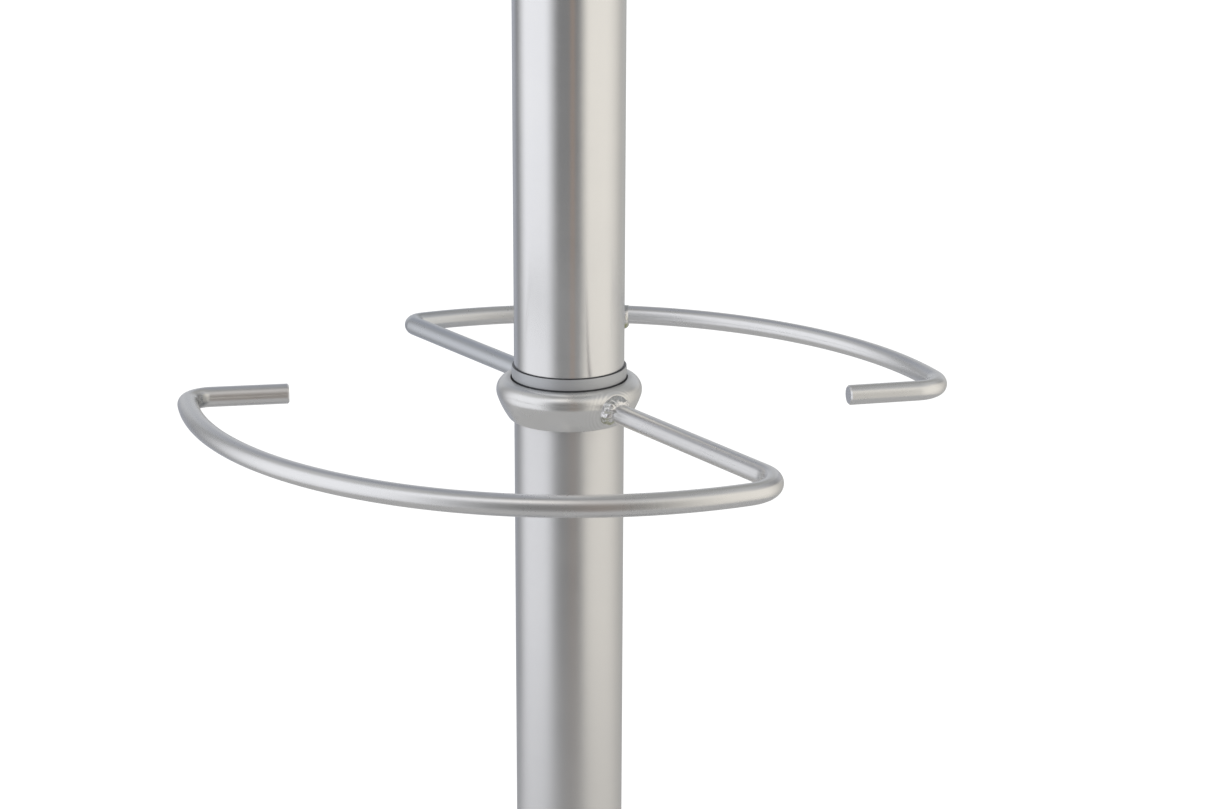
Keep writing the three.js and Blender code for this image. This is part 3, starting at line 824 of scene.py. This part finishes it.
def coat_hook(index):
    """One of the four hooks: straight out from the collar, then bent up, and its weld."""
    straight_to, bend_r, turn, tip = 70, 28, 80 * DEG, 44
    bend_steps, tip_steps = 24, 5
    spin = Matrix.Rotation(math.pi / 2 * index, 3, "Z")
    lift = Vector((0, 0, CROWN_Z))
    outward = Vector((1, 0, 0))
    stations = (COLLAR_R - ROD_SUNK, 35, 50, 60, straight_to)
    path = [(outward * x, outward) for x in stations]
    for i in range(1, bend_steps + 1):
        a = turn * i / bend_steps
        point = Vector((straight_to + bend_r * math.sin(a), 0, bend_r * (1 - math.cos(a))))
        path.append((point, Vector((math.cos(a), 0, math.sin(a)))))
    last, way = path[-1]
    path += [(last + way * tip * i / tip_steps, way) for i in range(1, tip_steps + 1)]
    path = [(spin @ point + lift, spin @ tangent) for point, tangent in path]
    piece(f"coat_hook_{index + 1}", *sweep_rod(path, bevel=1.2))
    weld_bead(f"coat_hook_weld_{index + 1}", spin @ outward, 0, CROWN_Z, seed=20.5 + index)


# ---------------------------------------------------------------- base


BASE_BORE_R = 5.5  # hole for the bolt
COVER_FLAT_R = 22  # the cover is level inside this radius
COVER_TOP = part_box("base_cover")[1].z / MM


def base_cover():
    """A spun dish: a steep rim, a round shoulder and a slightly rising top."""
    shoulder_r, edge_z, shoulder, wall, rim_z = 183, 8, 7, 1.5, 2.6
    rim_r = shoulder_r + shoulder
    slope = (COVER_TOP - edge_z - shoulder) / (shoulder_r - COVER_FLAT_R)

    def rise(r, lift=0.0):
        return (r, COVER_TOP + lift - slope * (r - COVER_FLAT_R))

    cover = [(rim_r - wall, rim_z, 0.4), (rim_r, rim_z, 0.6)]
    cover += arc(shoulder_r, edge_z, shoulder, shoulder, 0, 86 * DEG, steps=14)
    cover += [rise(r) for r in (160, 120, 80, 50)]
    cover += [(COVER_FLAT_R, COVER_TOP), (BASE_BORE_R, COVER_TOP)]
    cover += [(BASE_BORE_R, COVER_TOP - wall), rise(COVER_FLAT_R, -wall)]
    cover += arc(shoulder_r, edge_z, shoulder - wall, shoulder - wall, 80 * DEG, 0, steps=8)
    piece("base_cover", *lathe(cover, sides=256))


def base_rosette():
    """The domed ring that stands on the cover round the tube."""
    gap, rim_r, rim, crest_r, high = 0.3, 36, 0.8, 22, 9
    foot = COVER_TOP + gap
    brim = foot + rim
    rosette = [(TUBE_CLEAR_R, foot), (COVER_FLAT_R, foot), (rim_r, foot - rim, 0.2), (rim_r, brim, 0.4)]
    rosette += arc(crest_r, brim, rim_r - crest_r, high - rim, 9 * DEG, math.pi / 2, steps=16)
    rosette += [(TUBE_CLEAR_R, foot + high)]
    piece("base_rosette", *lathe(rosette))


def base_weight():
    """A cast disc that thickens to its middle, with a pocket under it for the bolt's head."""
    low, pocket_r, pocket_z, rim_r, rim_z, hub_r, hub_z = 3.3, 13.5, 15.1, 182, 12, 26, 23
    weight = [(BASE_BORE_R, pocket_z), (pocket_r, pocket_z), (pocket_r, low, 0.5), (rim_r, low, 1)]
    weight += [(rim_r, rim_z, 0.8), (rim_r - 3, rim_z + 1.4, 0.8), (hub_r, hub_z), (BASE_BORE_R, hub_z)]
    piece("base_weight", *lathe(weight, sides=192))


def floor_pad(node):
    """A rubber disc with a bevelled rim and two round grooves underneath."""
    low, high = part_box(node)
    middle = (low + high) / 2 / MM
    pad_r, high_z, groove, edge = 13, 3, 0.5, 0.2
    ribs = [(0, 0)]
    for r in (4, 8):
        ribs += [(r, 0, edge), (r + 0.3, groove, edge), (r + 1.7, groove, edge), (r + 2, 0, edge)]
    ribs += [(pad_r - 0.8, 0, 0.4), (pad_r, 0.8, 0.4), (pad_r, high_z, 0.3), (0, high_z)]
    verts, faces = lathe(ribs, sides=64, closed=False)
    piece(node, [(x + middle.x, y + middle.y, z) for x, y, z in verts], faces)


# ---------------------------------------------------------------- the whole stand


def finish_hidden_nodes():
    """Every CAD node gets its finish: plugs, studs, washers and bolt keep their CAD shape."""
    for node, obj in frame["nodes"].items():
        obj.data.materials.clear()
        obj.data.materials.append(MATERIALS[slot_of_node[node]])


# One finish for each material slot in the record, made by the function that has the slot's name.
MATERIALS = {
    make.__name__: make()
    for make in (satin_tube, satin_rod, weld_metal, zinc_steel, cast_iron, grey_plastic, black_rubber)
}
COLLAR_STEEL = satin_collar()

aim_camera()
studio()
pale_floor()
finish_hidden_nodes()
tube("lower_tube", satin_tube(shade=0.90, haze=0.15, scuffed=0.16))
tube("middle_tube", satin_tube(shade=0.99))
tube("upper_tube", MATERIALS["satin_tube"])
for ring_node in ("umbrella_joint_ring", "plain_joint_ring", "crown_joint_ring"):
    joint_ring(ring_node)
collar("umbrella_collar", LOOP_Z)
collar("hook_collar", CROWN_Z)
umbrella_loop("front", front_arm_painted_shade, seed=3.5)
umbrella_loop("rear", rear_arm_painted_shade, seed=7.5)
seam_bead()
for hook_index in range(4):
    coat_hook(hook_index)
top_cap()
base_cover()
base_rosette()
base_weight()
for pad_index in range(6):
    floor_pad(f"floor_pad_{pad_index + 1}")

bpy.context.scene.view_settings.view_transform = "Standard"
